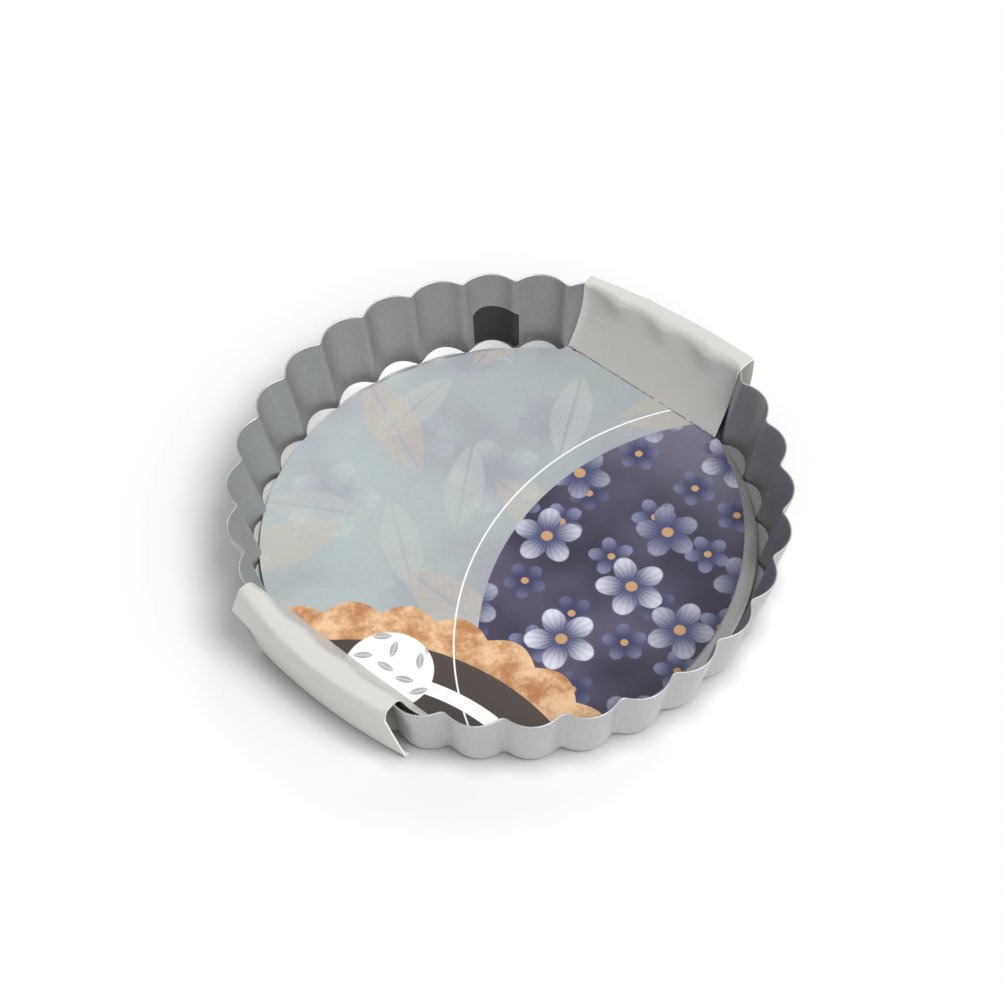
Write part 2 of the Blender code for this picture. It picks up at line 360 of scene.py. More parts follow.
class Graph:
    """A node tree that is written as expressions."""

    def __init__(self, owner):
        owner.use_nodes = True
        self.nodes = owner.node_tree.nodes
        self.links = owner.node_tree.links
        self.nodes.clear()

    def node(self, kind, settings, sockets, output=0):
        """Any node: its settings are set first, then the values or links of its sockets."""
        item = self.nodes.new("ShaderNode" + kind)
        for name, value in settings.items():
            setattr(item, name, value)
        for name, value in sockets.items():
            if isinstance(value, Wire):
                self.links.new(value.socket, item.inputs[name])
            else:
                item.inputs[name].default_value = value
        socket = item.outputs[output] if len(item.outputs) else None
        return Wire(self, item, socket)

    def maths(self, operation, *values):
        return self.node("Math", {"operation": operation}, dict(enumerate(values)))

    def vector(self, operation, *values):
        return self.node("VectorMath", {"operation": operation}, dict(enumerate(values)))

    def scaled(self, colour, factor):
        """Colour made lighter or darker by a factor."""
        return self.node("VectorMath", {"operation": "SCALE"}, {0: colour, "Scale": factor})

    def mix(self, factor, first, second):
        """Colour mix from first, at factor 0, to second."""
        colours = [c if isinstance(c, Wire) else (*c, 1.0) for c in (first, second)]
        return self.node(
            "Mix", {"data_type": "RGBA"}, {0: factor, 6: colours[0], 7: colours[1]}, output=2)

    def step(self, value, start, end):
        """Smooth step from 0 at start to 1 at end."""
        return self.node(
            "MapRange", {"interpolation_type": "SMOOTHSTEP"},
            {"Value": value, "From Min": start, "From Max": end})

    def place(self):
        return self.node("TexCoord", {}, {}, output="Object")

    def parts(self, vector):
        split = self.node("SeparateXYZ", {}, {0: vector})
        return split.out("X"), split.out("Y"), split.out("Z")

    def noise(self, vector, scale, detail=2.0, roughness=0.5):
        return self.node("TexNoise", {}, {
            "Vector": vector, "Scale": scale, "Detail": detail, "Roughness": roughness})

    def cells(self, vector, scale, randomness=1.0):
        return self.node("TexVoronoi", {"voronoi_dimensions": "2D"}, {
            "Vector": vector, "Scale": scale, "Randomness": randomness})

    def bump(self, height, strength, distance):
        return self.node("Bump", {}, {
            "Strength": strength, "Distance": distance, "Height": height})

    def surface(self, **sockets):
        """Principled shader on the output. Underscores in socket names stand for spaces."""
        named = {name.replace("_", " "): value for name, value in sockets.items()}
        shader = self.node("BsdfPrincipled", {}, named)
        self.node("OutputMaterial", {}, {"Surface": shader})


def new_graph(name):
    material = bpy.data.materials.new(name)
    return material, Graph(material)


def coated_steel(name, colour, rim_height=None):
    """Satin coating with a fine sparkle. At a raw rim the bare edge shows brighter."""
    material, graph = new_graph(name)
    place = graph.place()
    grain = graph.noise(place, 4200.0, 2.0, 0.6)
    cloud = graph.noise(place, 120.0, 3.0, 0.55)
    fleck = graph.node("TexVoronoi", {}, {"Vector": place, "Scale": 1500.0})
    lit = graph.step(fleck, 0.22, 0.05) * graph.step(graph.noise(place, 900.0, 0.0), 0.56, 0.66)
    tone = 0.47 + grain * 0.94 + cloud * 0.06
    base = graph.mix(lit * 0.5, graph.scaled((*colour,), tone), (0.9, 0.9, 0.92))
    rough = 0.36 + grain * 0.14 - lit * 0.12
    if rim_height:
        height = graph.parts(place)[2]
        edge = graph.step(height, rim_height - 0.16 * MM, rim_height - 0.04 * MM)
        wear_and_painted_shade = graph.noise(place, 260.0, 2.0, 0.5)
        base = graph.mix(edge * (0.15 + wear_and_painted_shade * 0.25), base, (0.74, 0.75, 0.78))
    graph.surface(
        Base_Color=base, Metallic=0.88, Roughness=rough,
        Normal=graph.bump(grain, 0.20, 0.00003))
    return material


def plain_card(name, colour, roughness):
    """Card with the faint mottling of pressed fibres."""
    material, graph = new_graph(name)
    place = graph.place()
    fibre = graph.noise(place, 900.0, 4.0, 0.6)
    cloud = graph.noise(place, 60.0, 2.0, 0.5)
    base = graph.mix(
        fibre * 0.5 + cloud * 0.5, [c * 0.94 for c in colour], [min(1.0, c * 1.05) for c in colour])
    graph.surface(
        Base_Color=base, Roughness=roughness, Normal=graph.bump(fibre, 0.15, 0.00002))
    return material


def printed_card(name, teal, plum):
    """Generic print: a leafy teal field, a dark field of rosettes and curved bands."""
    material, graph = new_graph(name)
    place = graph.place()
    x, y, _ = graph.parts(place)

    def ring_distance(centre, radius):
        """Distance outside a circle on the card, in metres."""
        gap = graph.node("VectorMath", {"operation": "DISTANCE"}, {
            0: graph.node("CombineXYZ", {}, {0: x, 1: y}), 1: (centre[0] * MM, centre[1] * MM, 0)},
            output="Value")
        return gap - radius * MM

    def edge(distance, place_mm):
        """1 where the distance is less than a place in mm, with a crisp printed edge."""
        return graph.step(distance, (place_mm + PRINT_EDGE) * MM, (place_mm - PRINT_EDGE) * MM)

    soft = graph.noise(place, 45.0, 2.0, 0.5)
    fine = graph.noise(place, 700.0, 2.0, 0.6)

    # Teal field, paler towards the far left, with ghosted leaves
    field = graph.mix(graph.step(y + x, 0.03, -0.06), teal, (0.36, 0.41, 0.41))
    field = graph.mix(graph.step(soft, 0.42, 0.66) * 0.5, field, (0.27, 0.26, 0.31))
    ghost, _, glow = rosettes(graph, place, 35.0, 2.7)
    field = graph.mix(
        ghost * 0.40, field, graph.mix(glow, (0.24, 0.24, 0.30), (0.47, 0.51, 0.52)))
    for scale, seed, strength, leaf in LEAVES:
        field = graph.mix(leaf_mask(graph, place, scale, seed) * strength, field, leaf)

    # Dark field with rosettes
    dark = graph.mix(graph.step(soft, 0.35, 0.75), plum, (0.075, 0.065, 0.115))
    dark = graph.mix(graph.step(y, 0.022, 0.052) * 0.75, dark, (0.20, 0.19, 0.26))
    for scale, seed, low, high in ROSETTES:
        flower, heart, shade = rosettes(graph, place, scale, seed)
        dark = graph.mix(flower, dark, graph.mix(shade, low, high))
        dark = graph.mix(heart, dark, HEART_COLOUR)
    colour = graph.mix(edge(ring_distance(*DARK_FIELD), 0.0), field, dark)

    # Warm scalloped band, dark band, white ribbon and pale ground, one inside the other
    front = ring_distance(*BANDS)
    east, north = BANDS[0]
    around = graph.maths("ARCTAN2", y - north * MM, x - east * MM)
    wave = graph.maths("ABSOLUTE", graph.maths("SINE", around * SCALLOPS))
    scallop = wave * (SCALLOP_HEIGHT * MM)
    crumb = graph.step(graph.noise(place, 150.0, 5.0, 0.7), 0.36, 0.64)
    warm = graph.mix(crumb, (0.40, 0.17, 0.06), (0.72, 0.48, 0.28))
    colour = graph.mix(edge(front - scallop, WARM_BAND), colour, warm)
    brown = graph.mix(soft, (0.035, 0.027, 0.025), (0.085, 0.060, 0.050))
    colour = graph.mix(edge(front, BROWN_BAND), colour, brown)
    for reach, tint in PLAIN_BANDS:
        colour = graph.mix(edge(front, reach), colour, tint)

    # White round panel with small leaves, and a thin white arc on the field
    panel = edge(ring_distance(*ROUND_PANEL), 0.0)
    sprigs = graph.mix(leaf_mask(graph, place, 190.0, 4.4), (0.80, 0.80, 0.79), (0.22, 0.23, 0.24))
    colour = graph.mix(panel, colour, sprigs)
    rule = edge(graph.maths("ABSOLUTE", ring_distance(*WHITE_RULE)), RULE_WIDTH)
    colour = graph.mix(rule * 0.9, colour, (0.85, 0.87, 0.86))

    graph.surface(
        Base_Color=graph.scaled(colour, 0.94 + fine * 0.12), Roughness=0.42,
        Coat_Weight=0.12, Coat_Roughness=0.3, Normal=graph.bump(fine, 0.06, 0.00002))
    return material


def turned_cell(graph, place, scale, seed):
    """Place within a scattered cell, turned at random: along, across and the cell's colour."""
    shifted = graph.vector("ADD", place, (seed, seed * 0.37, 0.0))
    cell = graph.cells(shifted, scale, 0.35)
    local = graph.vector("SUBTRACT", shifted, cell.out("Position"))
    red, green, _ = graph.parts(cell.out("Color"))
    local = graph.node("VectorRotate", {"rotation_type": "Z_AXIS"}, {
        "Vector": local, "Angle": red * math.tau})
    along, across, _ = graph.parts(local)
    return along * scale, across * scale, green


def leaf_mask(graph, place, scale, seed):
    """Pointed leaves with a midrib and side veins, one in each cell."""
    along, across, _ = turned_cell(graph, place, scale, seed)
    side = graph.maths("ABSOLUTE", across)
    width = (1.0 - along * along * 5.8) * 0.15
    leaf = graph.step(side - width, 0.012, -0.012)
    rib = graph.step(side, 0.006, 0.016)
    veins = graph.maths("SINE", (along - side * 1.4) * 95.0)
    return leaf * rib * (0.75 + veins * 0.2)


def rosettes(graph, place, scale, seed):
    """Flowers of five petals: their mask, their hearts and the petals' light and shade."""
    along, across, tint = turned_cell(graph, place, scale, seed)
    reach = graph.maths("SQRT", along * along + across * across)
    angle = graph.maths("ARCTAN2", across, along)
    wave = graph.maths("ABSOLUTE", graph.maths("COSINE", angle * (PETALS / 2)))
    rim = 0.19 + wave * (0.13 + tint * 0.05)
    flower = graph.step(reach - rim, 0.012, -0.012)
    heart = graph.step(reach, 0.068, 0.052)
    vein = graph.maths("SINE", angle * (PETALS * 5.0)) * 0.12
    shade = graph.step(reach, 0.05, 0.34) * (0.20 + wave * 0.55) + vein * 0.5
    shade = shade * (0.35 + tint * 0.9)
    return flower, heart, shade


def strap_card(name, colour):
    """Grey coated card of a strap: whitened by cracks and darkened by painted shade along the
    crease, with painted highlights along small creases.
    """
    material, graph = new_graph(name)
    place = graph.place()
    fibre = graph.noise(place, 1100.0, 3.0, 0.6)
    cloud = graph.noise(place, 38.0, 2.0, 0.5)
    base = graph.mix(
        fibre * 0.35 + cloud * 0.65, [c * 0.93 for c in colour], [c * 1.05 for c in colour])
    crease = graph.node("Attribute", {"attribute_name": "crease"}, {}, output="Fac")
    crack = graph.step(graph.noise(place, 420.0, 4.0, 0.75), 0.50, 0.66)
    # The dark of the crease line is painted shade in the fold's valley; the pale is cracked card.
    crack_and_painted_shade = graph.mix(crack, (0.20, 0.19, 0.19), BARE_CARD_AND_PAINTED_HIGHLIGHT)
    base = graph.mix(graph.step(crease, 0.25, 0.60), base, crack_and_painted_shade)
    x, y, z = graph.parts(place)
    inside = graph.step(y, PAINTED_HIGHLIGHT_FAR, PAINTED_HIGHLIGHT_FAR - 0.5 * MM)
    inside = inside * graph.step(y, PAINTED_HIGHLIGHT_NEAR, PAINTED_HIGHLIGHT_NEAR + MM)
    # Pale lines along small creases in the back riser are painted highlights.
    for (x0, z0), (x1, z1) in PAINTED_CREASE_HIGHLIGHTS:
        off = graph.maths("ABSOLUTE", z - z0 * MM - (x - x0 * MM) * ((z1 - z0) / (x1 - x0)))
        line = graph.step(off, PAINTED_HIGHLIGHT_WIDTH * MM, 0.4 * PAINTED_HIGHLIGHT_WIDTH * MM) * inside
        line = line * graph.step(x, (x0 - 0.1) * MM, x0 * MM)
        line = line * graph.step(x, x1 * MM, (x1 - PAINTED_HIGHLIGHT_FADE) * MM)
        base = graph.mix(line * 0.7, base, BARE_CARD_AND_PAINTED_HIGHLIGHT)
    graph.surface(
        Base_Color=base, Roughness=0.44 + fibre * 0.08, Coat_Weight=0.10, Coat_Roughness=0.30,
        Normal=graph.bump(fibre, 0.06, 0.00002))
    return material


def black_film(name, colour):
    """Matte film with a little dust on it."""
    material, graph = new_graph(name)
    place = graph.place()
    grain = graph.noise(place, 2600.0, 2.0, 0.6)
    dust = graph.node("TexVoronoi", {}, {"Vector": place, "Scale": 900.0})
    speck = graph.step(dust, 0.12, 0.05) * graph.step(graph.noise(place, 500.0, 0.0), 0.66, 0.74)
    base = graph.mix(speck, graph.mix(grain, [c * 0.8 for c in colour], [c * 1.4 for c in colour]),
                     (0.35, 0.35, 0.34))
    graph.surface(Base_Color=base, Roughness=0.5 + grain * 0.1,
                  Normal=graph.bump(grain, 0.15, 0.00002))
    return material


def flute_profile(share):
    """0 at the bottom of a cusp and 1 at the top of a lobe, for a share of one flute."""
    swing = np.abs(2 * (share % 1.0) - 1)
    straight = 1 - CUSP_ROUNDING
    step = np.clip((swing - straight) / CUSP_ROUNDING, 0, 1)
    height = 1 - np.minimum(swing, straight) ** 2
    height = height - 2 * straight * CUSP_ROUNDING * (step - step ** 2 / 2)
    lowest = 1 - straight ** 2 - straight * CUSP_ROUNDING
    return (height - lowest) / (1 - lowest)


def wall_radius(sizes, angle, height):
    """Outside radius of the fluted wall."""
    rise = height / sizes.height
    lobe = sizes.foot_radius + (sizes.rim_radius - sizes.foot_radius) * rise
    depth = sizes.foot_flute + (sizes.rim_flute - sizes.foot_flute) * rise
    share = (angle - FIRST_CUSP) * FLUTES / math.tau
    return lobe - depth * (1 - flute_profile(share))


def grid_object(name, points, materials, wrap_rows=False, wrap_columns=False):
    """Quad mesh object from a grid of points, rows by columns."""
    rows, columns = points.shape[:2]
    row = np.arange(rows if wrap_rows else rows - 1)
    column = np.arange(columns if wrap_columns else columns - 1)
    a, b = np.meshgrid(row, column, indexing="ij")
    c, d = (a + 1) % rows, (b + 1) % columns
    quads = np.stack([a * columns + b, a * columns + d, c * columns + d, c * columns + b], -1)
    mesh = bpy.data.meshes.new(name)
    mesh.from_pydata(points.reshape(-1, 3).tolist(), [], quads.reshape(-1, 4).tolist())
    mesh.validate()
    return mesh_object(name, mesh, materials)


def mesh_object(name, mesh, materials):
    for material in materials:
        mesh.materials.append(material)
    mesh.shade_smooth()
    item = bpy.data.objects.new(name, mesh)
    bpy.context.scene.collection.objects.link(item)
    return item


def keep_evaluated(item, sharp_angle):
    """Applies the object's modifiers and marks its sharp edges."""
    bpy.context.view_layer.update()
    shaped = item.evaluated_get(bpy.context.evaluated_depsgraph_get())
    mesh = bpy.data.meshes.new_from_object(shaped)
    item.modifiers.clear()
    item.data = mesh
    mesh.name = item.name
    mesh.shade_smooth()
    mesh.set_sharp_from_angle(angle=math.radians(sharp_angle))


def thicken(item, gauge, offset, reverse=0, rim=0):
    """Gives a surface its thickness, with other material slots on its back and rim."""
    solid = item.modifiers.new("gauge", "SOLIDIFY")
    solid.thickness = gauge
    solid.offset = offset
    solid.material_offset = reverse
    solid.material_offset_rim = rim
    keep_evaluated(item, SHARP_CARD)


def arc(centre, radius, start, stop, steps):
    """Points of a turned section's arc, as radius and height, angles in degrees."""
    turns = np.radians(np.linspace(start, stop, steps))
    return [(centre[0] + radius * math.cos(t), centre[1] + radius * math.sin(t)) for t in turns]


def build_ring(sizes, finishes):
    """Closed section of the sheet, lofted round the flutes."""
    gauge = sizes.sheet_gauge
    outer_corner = sizes.foot_corner
    edge = EDGE_SHARE * gauge
    # Each stage of the section is a height and an inset from the wall at that height
    section = []
    for inset, height in arc((outer_corner, outer_corner), outer_corner, 270, 180, CORNER_ROWS):
        section.append((height, inset))
    for height in np.linspace(outer_corner, sizes.height - edge, WALL_ROWS)[1:]:
        section.append((height, 0.0))
    for inset, height in arc((edge, sizes.height - edge), edge, 180, 90, EDGE_ROWS)[1:]:
        section.append((height, inset))
    for inset, height in arc((gauge - edge, sizes.height - edge), edge, 90, 0, EDGE_ROWS):
        section.append((height, inset))
    angles = FIRST_CUSP + math.tau * np.arange(COLUMNS) / COLUMNS
    # Where the slope of the lobes' floors meets the wall, found in two steps
    run = wall_radius(sizes, angles, gauge) - gauge - sizes.slope_start
    meet = gauge + math.tan(sizes.foot_slope) * np.maximum(run, 0)
    run = wall_radius(sizes, angles, meet) - gauge - sizes.slope_start
    for share in np.linspace(1, 0, WALL_ROWS)[1:]:
        section.append((meet + (sizes.height - edge - meet) * share, gauge))
    loops = []
    for height, inset in section:
        radius = wall_radius(sizes, angles, height) - inset
        loops.append((radius, np.broadcast_to(height, COLUMNS)))
    for share in np.linspace(1, 0, SLOPE_ROWS)[1:]:
        loops.append((sizes.slope_start + run * share, gauge + (meet - gauge) * share))
    hole = np.full(COLUMNS, sizes.ledge_hole)
    loops.append((hole, np.full(COLUMNS, gauge)))
    loops.append((hole, np.zeros(COLUMNS)))
    points = np.array([
        np.stack([radius * np.cos(angles), radius * np.sin(angles), height], -1)
        for radius, height in loops])
    steel = coated_steel("coated_steel", finishes.coating, sizes.height)
    ring = grid_object("ring_shell", points, [steel], wrap_rows=True, wrap_columns=True)
    turn_outwards(ring)
    ring.data.set_sharp_from_angle(angle=math.radians(SHARP_STEEL))
    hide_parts("fluted_ring")
    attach(ring, "ring")


def turn_outwards(item):
    """Turns the faces of a closed mesh outwards."""
    work = bmesh.new()
    work.from_mesh(item.data)
    bmesh.ops.recalc_face_normals(work, faces=work.faces)
    work.to_mesh(item.data)
    work.free()


def round_disc(name, radius_at, height_at, shares, columns, materials):
    """Disc of concentric rows round a centre point, with its own outline and height."""
    angles = math.tau * np.arange(columns) / columns
    radius = radius_at(angles)
    points = [(0.0, 0.0, float(height_at(0.0, 0.0)))]
    for share in shares:
        x = share * radius * np.cos(angles)
        y = share * radius * np.sin(angles)
        points += np.stack([x, y, height_at(x, y)], -1).tolist()
    faces = [(0, 1 + i, 1 + (i + 1) % columns) for i in range(columns)]
    for row in range(len(shares) - 1):
        first = 1 + row * columns
        for i in range(columns):
            j = (i + 1) % columns
            faces.append((first + i, first + columns + i, first + columns + j, first + j))
    mesh = bpy.data.meshes.new(name)
    mesh.from_pydata(points, [], faces)
    return mesh_object(name, mesh, materials)


def build_base(finishes):
    """Loose base: a pressed disc with a rounded edge, pushed to the right in its play."""
    radius = BASE_HIGH[0] - BASE_PLAY * MM
    thickness = BASE_HIGH[2] - BASE_LOW[2]
    steel = coated_steel("coated_steel_base", finishes.coating)
    base = round_disc(
        "base_disc", lambda angles: np.full_like(angles, radius),
        lambda x, y: np.full_like(x, BASE_HIGH[2]), BASE_ROWS, BASE_COLUMNS, [steel])
    base.location = (BASE_SHIFT[0] * MM, BASE_SHIFT[1] * MM, 0)
    solid = base.modifiers.new("gauge", "SOLIDIFY")
    solid.thickness = thickness
    solid.offset = -1.0
    bevel = base.modifiers.new("edge", "BEVEL")
    bevel.width = BASE_BEVEL * thickness
    bevel.segments = 3
    bevel.limit_method = "ANGLE"
    keep_evaluated(base, SHARP_STEEL)
    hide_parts("removable_base")
    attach(base, "base")


def disc_height(x, y):
    """Top of the card disc: flat on the base, and drawn up at the far left by its strap."""
    out = LIFT_DIRECTION[0] * x + LIFT_DIRECTION[1] * y
    lift = LIFT * np.clip((out - LIFT_START) / LIFT_RUN, 0, 1) ** LIFT_POWER
    lift = lift * np.clip((LIFT_END - x) / LIFT_FADE, 0, 1)
    bow = BOW * np.clip((y - BOW_START) / BOW_RUN, 0, 1) ** 2
    return DISC_HIGH[2] + lift + bow


def disc_radius(angles):
    """Outline of the card disc, cut along its two creases."""
    shift = DISC_SHIFT[0] * np.cos(angles) + DISC_SHIFT[1] * np.sin(angles)
    oval = DISC_OVAL * np.cos(2 * (angles - DISC_OVAL_ANGLE))
    triangle = DISC_TRIANGLE * np.cos(3 * (angles - DISC_TRIANGLE_ANGLE))
    radius = DISC_RADIUS + shift + oval + triangle
    for root, width, rise in OUTLINE_BUMPS:
        radius = radius + rise * np.exp(-((np.degrees(angles) - root) / width) ** 2)
    for facing, cut in ((1, BACK_CUT), (-1, FRONT_PROFILES[1][0][0])):
        toward = facing * np.sin(angles)
        radius = np.where(toward * radius > cut, cut / np.maximum(toward, 1e-6), radius)
    return radius * MM


def build_card_disc(sizes, finishes):
    """Printed disc of the sleeve."""
    top = printed_card("printed_card", finishes.teal, finishes.plum)
    core = plain_card("card_core", finishes.core, 0.75)
    disc = round_disc(
        "printed_disc", disc_radius, disc_height, DISC_ROWS, DISC_COLUMNS, [top, core])
    thicken(disc, sizes.card_gauge, -1.0, reverse=1, rim=1)
    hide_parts("card_disc")
    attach(disc, "base")


def across(stations, share):
    """Smooth value through three stations at the left edge, middle and right edge."""
    left, middle, right = stations
    return (left * (1 - share) * (1 - 2 * share) + middle * 4 * share * (1 - share)
            + right * share * (2 * share - 1))


def rounded(points, roundings, corner_steps=7, straight_steps=7):
    """Profile with its corners rounded, and the stage number of each of its points."""
    def toward(start, end, cut):
        gap = end - start
        return start + gap * min(0.45, cut / max(np.linalg.norm(gap), 1e-9))

    rows, stages = [], []
    last = points[0]
    last_stage = 0.0
    for i in range(1, len(points)):
        final = i == len(points) - 1
        enter = points[i] if final else toward(points[i], points[i - 1], roundings[i])
        for k in range(straight_steps):
            t = k / straight_steps
            rows.append(last + (enter - last) * t)
            stages.append(last_stage + (i - last_stage) * t * 0.96)
        if final:
            rows.append(enter)
            stages.append(float(i))
            break
        leave = toward(points[i], points[i + 1], roundings[i])
        for k in range(corner_steps):
            t = k / corner_steps
            rows.append((1 - t) ** 2 * enter + 2 * t * (1 - t) * points[i] + t ** 2 * leave)
            stages.append(i - 0.04 + 0.08 * t)
        last, last_stage = leave, i + 0.04
    return np.array(rows), np.array(stages)


def strap_points(profiles, edges, facing):
    """Grid of a strap's middle surface, in mm, and the stage of each of its rows."""
    profiles = np.array(profiles, float)
    edges = np.array(edges, float)
    columns = []
    for share in np.linspace(0, 1, STRAP_COLUMNS + 1):
        profile = across(profiles, share)
        side = edges[:, 0] + (edges[:, 1] - edges[:, 0]) * share
        rows, stages = rounded(
            np.column_stack([side, facing * profile[:, 0], profile[:, 1]]), STAGE_ROUNDING)
        columns.append(rows)
    return np.stack(columns, 1), stages


def keep_clear(sizes, points, outside, gap):
    """Moves points off the ring's wall: the inner rows inwards, the outer rows outwards."""
    x, y, z = points[..., 0] * MM, points[..., 1] * MM, points[..., 2] * MM
    angle = np.arctan2(y, x)
    reach = np.hypot(x, y)
    wall = wall_radius(sizes, angle, np.minimum(z, sizes.height))
    limit = np.where(outside, wall + gap, wall - sizes.sheet_gauge - gap)
    into = np.where(outside, limit - reach, reach - limit)
    below = sizes.height + gap - z
    inside = (into > 0) & (below > 0)
    sideways = inside & (into < below)
    upwards = inside & ~sideways
    reach = np.where(sideways, limit, reach)
    z = np.where(upwards, sizes.height + gap, z)
    return np.stack([reach * np.cos(angle), reach * np.sin(angle), z], -1) / MM


def smooth(value, start, end):
    """Smooth step from 0 at start to 1 at end."""
    share = np.clip((value - start) / (end - start), 0, 1)
    return share * share * (3 - 2 * share)


def press_over_cusps(sizes, points, stages, facing):
    """Draws a strap inwards where the cusps of the rim press into its knee."""
    cusp_radius = (sizes.rim_radius - sizes.rim_flute) / MM
    depth = PRESS_DEPTH * np.exp(-((points[..., 2] - PRESS_HEIGHT) / PRESS_DROP) ** 2)
    depth = depth * (1 - smooth(stages[:, None], STAGES.index("knee"), STAGES.index("crest")))
    for k in range(FLUTES):
        angle = FIRST_CUSP + math.tau * k / FLUTES
        if math.sin(angle) * facing > 0:
            along = points[..., 0] - cusp_radius * math.cos(angle)
            points[..., 1] -= facing * depth * np.exp(-(along / PRESS_WIDTH) ** 2)
    return points


def relax(points, times):
    """Evens out a grid a little, with its borders held."""
    for _ in range(times):
        inner = (points[:-2, 1:-1] + points[2:, 1:-1] + points[1:-1, :-2] + points[1:-1, 2:]) / 4
        points[1:-1, 1:-1] = points[1:-1, 1:-1] * 0.5 + inner * 0.5
    return points


def build_strap(side, profiles, edges, facing, sizes, materials):
    """One strap in two pieces that meet on top of the rim: the riser's and the apron's."""
    points, stages = strap_points(profiles, edges, facing)
    outside = np.broadcast_to((stages > STAGES.index("crest"))[:, None], points.shape[:2])
    gap = sizes.card_gauge / 2 + STRAP_GAP * MM
    points = press_over_cusps(sizes, points, stages, facing)
    for times in RELAX_TIMES:
        points = relax(keep_clear(sizes, points, outside, gap), times)
    split = int(np.argmin(np.abs(stages - (STAGES.index("crest") + 0.5))))
    crease = np.exp(-(stages / CREASE_SPAN) ** 2)
    for name, first, last in (("riser", 0, split), ("apron", split, len(stages) - 1)):
        item = grid_object(
            side + "_strap_" + name, points[first:last + 1][::facing] * MM, materials)
        layer = item.data.attributes.new("crease", "FLOAT", "POINT")
        # The crease mask carries both the card's cracks and the painted shade of the fold.
        wear_and_painted_shade = np.repeat(crease[first:last + 1][::facing], points.shape[1])
        layer.data.foreach_set("value", wear_and_painted_shade.astype(np.float32))
        thicken(item, sizes.card_gauge, 0.0, reverse=1, rim=2)
        if name == "riser":
            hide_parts(side + "_riser")
        else:
            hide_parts(side + "_rim_strip", side + "_apron")
        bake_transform(item)


def build_straps(sizes, finishes):
    materials = [
        strap_card("grey_card", finishes.board),
        plain_card("card_reverse", finishes.reverse, 0.8),
        plain_card("strap_core", finishes.core, 0.75),
    ]
    build_strap("back", BACK_PROFILES, BACK_EDGES, 1, sizes, materials)
    build_strap("front", FRONT_PROFILES, FRONT_EDGES, -1, sizes, materials)


def build_label(sizes, finishes):
    """Thin black film that follows the inside of one flute."""
    start = FIRST_CUSP + math.tau * LABEL_FLUTE / FLUTES - LABEL_LAP * MM / sizes.rim_radius
    shares = np.linspace(0, 1, LABEL_COLUMNS)
    angles = start + LABEL_WIDTH * MM / sizes.rim_radius * shares
    gap = sizes.sheet_gauge + LABEL_GAP * MM
    sink, middle, power = LABEL_ARCH
    arch = 1 - sink * np.abs(2 * shares - middle) ** power
    rows = []
    for lift in np.linspace(0, 1, LABEL_ROWS):
        height = (LABEL_FOOT + LABEL_HEIGHT * lift * arch) * MM
        radius = wall_radius(sizes, angles, height) - gap
        rows.append(np.stack([radius * np.cos(angles), radius * np.sin(angles), height], -1))
    film = black_film("black_film", finishes.film)
    label = grid_object("flute_film", np.array(rows), [film])
    thicken(label, LABEL_GAUGE * MM, 1.0)
    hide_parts("flute_label")
    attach(label, "ring")


def add_sun(name, strength, spread, azimuth, elevation):
    """Sun lamp that shines from an azimuth off the picture's right and an elevation."""
    lamp = bpy.data.lights.new(name, "SUN")
    lamp.energy = strength
    lamp.angle = math.radians(spread)
    item = bpy.data.objects.new(name, lamp)
    turn = math.radians(VIEW_TURN + azimuth)
    rise = math.radians(elevation)
    flat = math.cos(rise)
    toward = Vector((math.cos(turn) * flat, math.sin(turn) * flat, math.sin(rise)))
    item.rotation_mode = "QUATERNION"
    item.rotation_quaternion = toward.to_track_quat("Z", "Y")
    item.location = toward
    bpy.context.scene.collection.objects.link(item)


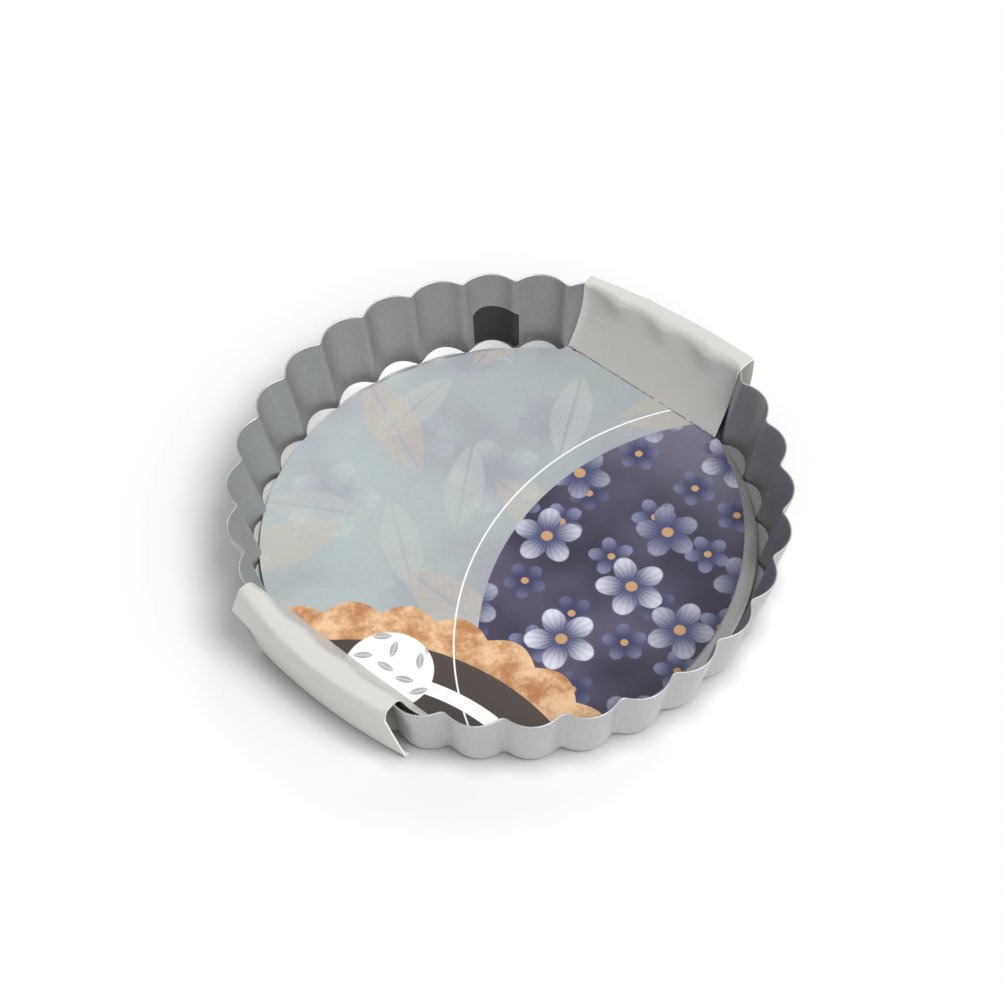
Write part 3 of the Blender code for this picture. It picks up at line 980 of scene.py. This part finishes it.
def build_stage(stage):
    """White floor, soft light and the camera at the photograph's angle."""
    scene = bpy.context.scene
    scene.view_settings.view_transform = "Standard"

    floor, graph = new_graph("white_floor")
    seen = graph.node("LightPath", {}, {}, output="Is Camera Ray")
    # A surface close above the floor deepens the soft shadow where it stands
    clear = graph.node("AmbientOcclusion", {"samples": 8}, {"Distance": CONTACT_REACH}, output="AO")
    white = graph.mix(seen, FLOOR_GREY, graph.mix(clear, FLOOR_CONTACT, FLOOR_SEEN))
    diffuse = graph.node("BsdfDiffuse", {}, {"Color": white})
    graph.node("OutputMaterial", {}, {"Surface": diffuse})
    sides = (-FLOOR_HALF, FLOOR_HALF)
    corners = np.array([[(x, y, 0.0) for y in sides] for x in sides])
    table = grid_object("floor", corners, [floor])
    table.location.z = FLOOR_HEIGHT

    world = bpy.data.worlds.new("studio")
    scene.world = world
    graph = Graph(world)
    seen = graph.node("LightPath", {}, {}, output="Is Camera Ray")
    east, north, up = graph.parts(graph.node("TexCoord", {}, {}, output="Generated"))
    turn = math.radians(VIEW_TURN)
    front = east * math.sin(turn) - north * math.cos(turn)
    right = east * math.cos(turn) + north * math.sin(turn)
    low = (HORIZON_LEVEL + right * HORIZON_GAIN) * stage.horizon
    room = low + graph.step(up, *CEILING_RISE) * (stage.ceiling - low)
    fill = graph.step(front * FILL_FRONT + right * FILL_RIGHT, 0.0, FILL_WIDTH)
    room = room + fill * graph.step(up, *FILL_RISE) * stage.fill
    strength = seen * (1.0 - room) + room
    sky = graph.node("Background", {}, {"Color": (1, 1, 1, 1), "Strength": strength})
    graph.node("OutputWorld", {}, {"Surface": sky})

    add_sun("key", stage.key, *KEY_SUN)
    add_sun("rear", stage.rear, *REAR_SUN)

    toward = Vector(CAMERA_TOWARD).normalized()
    lens = bpy.data.cameras.new("camera")
    lens.lens = stage.lens
    lens.sensor_width = CAMERA_SENSOR
    camera = bpy.data.objects.new("camera", lens)
    camera.location = Vector(CAMERA_TARGET) + toward * CAMERA_DISTANCE
    camera.rotation_mode = "QUATERNION"
    roll = Quaternion((0, 0, 1), CAMERA_ROLL)
    camera.rotation_quaternion = toward.to_track_quat("Z", "Y") @ roll
    scene.collection.objects.link(camera)
    scene.camera = camera


class TARTPAN_OT_stage(bpy.types.Operator):
    """Add the white floor, the lights and the camera"""

    bl_idname = "tart_pan.stage"
    bl_label = "Stage"

    def execute(self, context):
        build_stage(context.scene.tart_pan_stage)
        return {"FINISHED"}


class TARTPAN_OT_ring(bpy.types.Operator):
    """Loft the fluted ring with its ledge and rounded rim edge"""

    bl_idname = "tart_pan.ring"
    bl_label = "Fluted Ring"

    def execute(self, context):
        build_ring(context.scene.tart_pan_sizes, context.scene.tart_pan_finishes)
        return {"FINISHED"}


class TARTPAN_OT_base(bpy.types.Operator):
    """Add the loose base"""

    bl_idname = "tart_pan.base"
    bl_label = "Loose Base"

    def execute(self, context):
        build_base(context.scene.tart_pan_finishes)
        return {"FINISHED"}


class TARTPAN_OT_card_disc(bpy.types.Operator):
    """Add the printed disc of the card sleeve"""

    bl_idname = "tart_pan.card_disc"
    bl_label = "Printed Disc"

    def execute(self, context):
        build_card_disc(context.scene.tart_pan_sizes, context.scene.tart_pan_finishes)
        return {"FINISHED"}


class TARTPAN_OT_straps(bpy.types.Operator):
    """Fold the two card straps over the rim"""

    bl_idname = "tart_pan.straps"
    bl_label = "Card Straps"

    def execute(self, context):
        build_straps(context.scene.tart_pan_sizes, context.scene.tart_pan_finishes)
        return {"FINISHED"}


class TARTPAN_OT_label(bpy.types.Operator):
    """Stick the small black label into its flute"""

    bl_idname = "tart_pan.label"
    bl_label = "Flute Label"

    def execute(self, context):
        build_label(context.scene.tart_pan_sizes, context.scene.tart_pan_finishes)
        return {"FINISHED"}


OPERATORS = (
    TARTPAN_OT_stage, TARTPAN_OT_ring, TARTPAN_OT_base,
    TARTPAN_OT_card_disc, TARTPAN_OT_straps, TARTPAN_OT_label,
)
GROUPS = {"tart_pan_sizes": Sizes, "tart_pan_finishes": Finishes, "tart_pan_stage": Stage}


class TARTPAN_PT_panel(bpy.types.Panel):
    """Sizes, colours and pieces of the tart pan"""

    bl_idname = "TARTPAN_PT_panel"
    bl_label = "Tart Pan"
    bl_space_type = "VIEW_3D"
    bl_region_type = "UI"
    bl_category = "Tart Pan"

    def draw(self, context):
        for group, kind in GROUPS.items():
            box = self.layout.box()
            for name in kind.__annotations__:
                box.prop(getattr(context.scene, group), name)
        for operator in OPERATORS:
            self.layout.operator(operator.bl_idname)


def register():
    for kind in (*GROUPS.values(), *OPERATORS, TARTPAN_PT_panel):
        bpy.utils.register_class(kind)
    for name, kind in GROUPS.items():
        setattr(bpy.types.Scene, name, bpy.props.PointerProperty(type=kind))


def unregister():
    for name in GROUPS:
        delattr(bpy.types.Scene, name)
    for kind in (TARTPAN_PT_panel, *OPERATORS, *GROUPS.values()):
        bpy.utils.unregister_class(kind)


def main():
    register()
    bpy.ops.tart_pan.stage()
    bpy.ops.tart_pan.ring()
    bpy.ops.tart_pan.base()
    bpy.ops.tart_pan.card_disc()
    bpy.ops.tart_pan.straps()
    bpy.ops.tart_pan.label()


if __name__ == "__main__":
    main()
